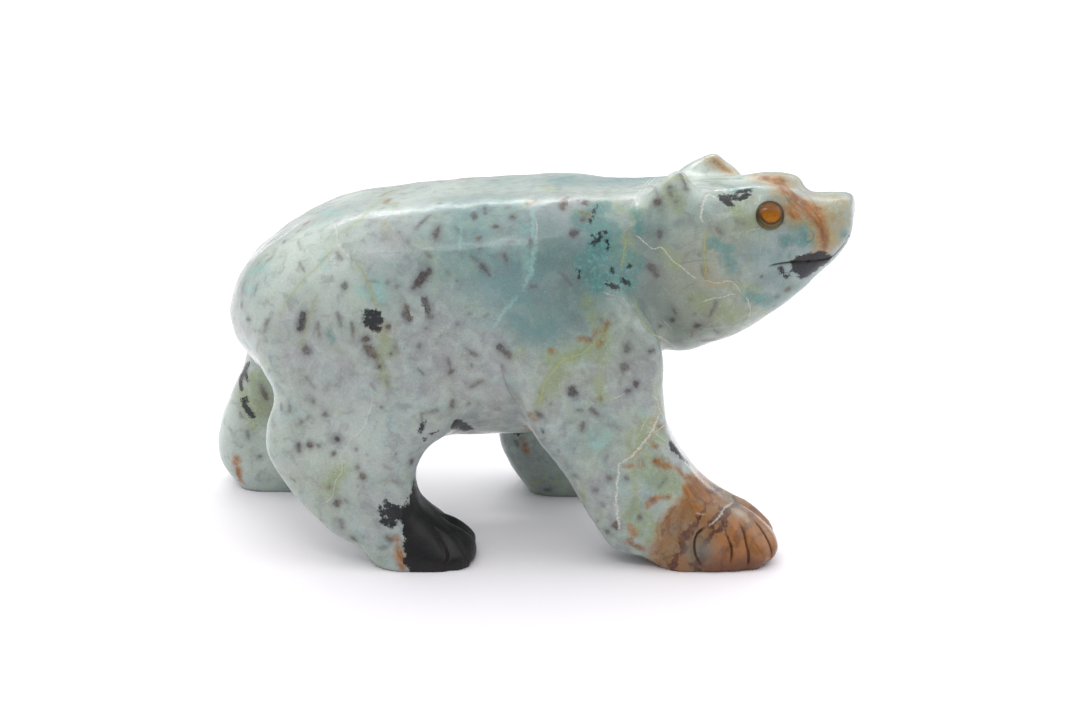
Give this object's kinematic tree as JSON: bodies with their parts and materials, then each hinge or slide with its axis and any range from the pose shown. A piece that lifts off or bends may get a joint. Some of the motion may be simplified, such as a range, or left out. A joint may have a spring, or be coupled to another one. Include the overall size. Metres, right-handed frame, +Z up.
{
  "type": "bear carving",
  "caption": "Walking bear carved from polished mottled turquoise stone, head turned slightly to its right, with inlaid amber cabochon eyes and notched toes.",
  "frame": {"origin": "centre of the bear's box, at the level of the soles", "axes": "+X towards the nose, +Y to the bear's left, +Z up"},
  "size_m": [0.113, 0.0529, 0.0646],
  "materials": {
    "turquoise_stone": "polished, mottled grey-green stone with rust, black and teal zones",
    "amber_cabochon": "polished amber dome with a dark rim"
  },
  "bodies": {
    "root": {"bear": "turquoise_stone", "eye_right": "amber_cabochon", "eye_left": "amber_cabochon"}
  },
  "joints": []
}
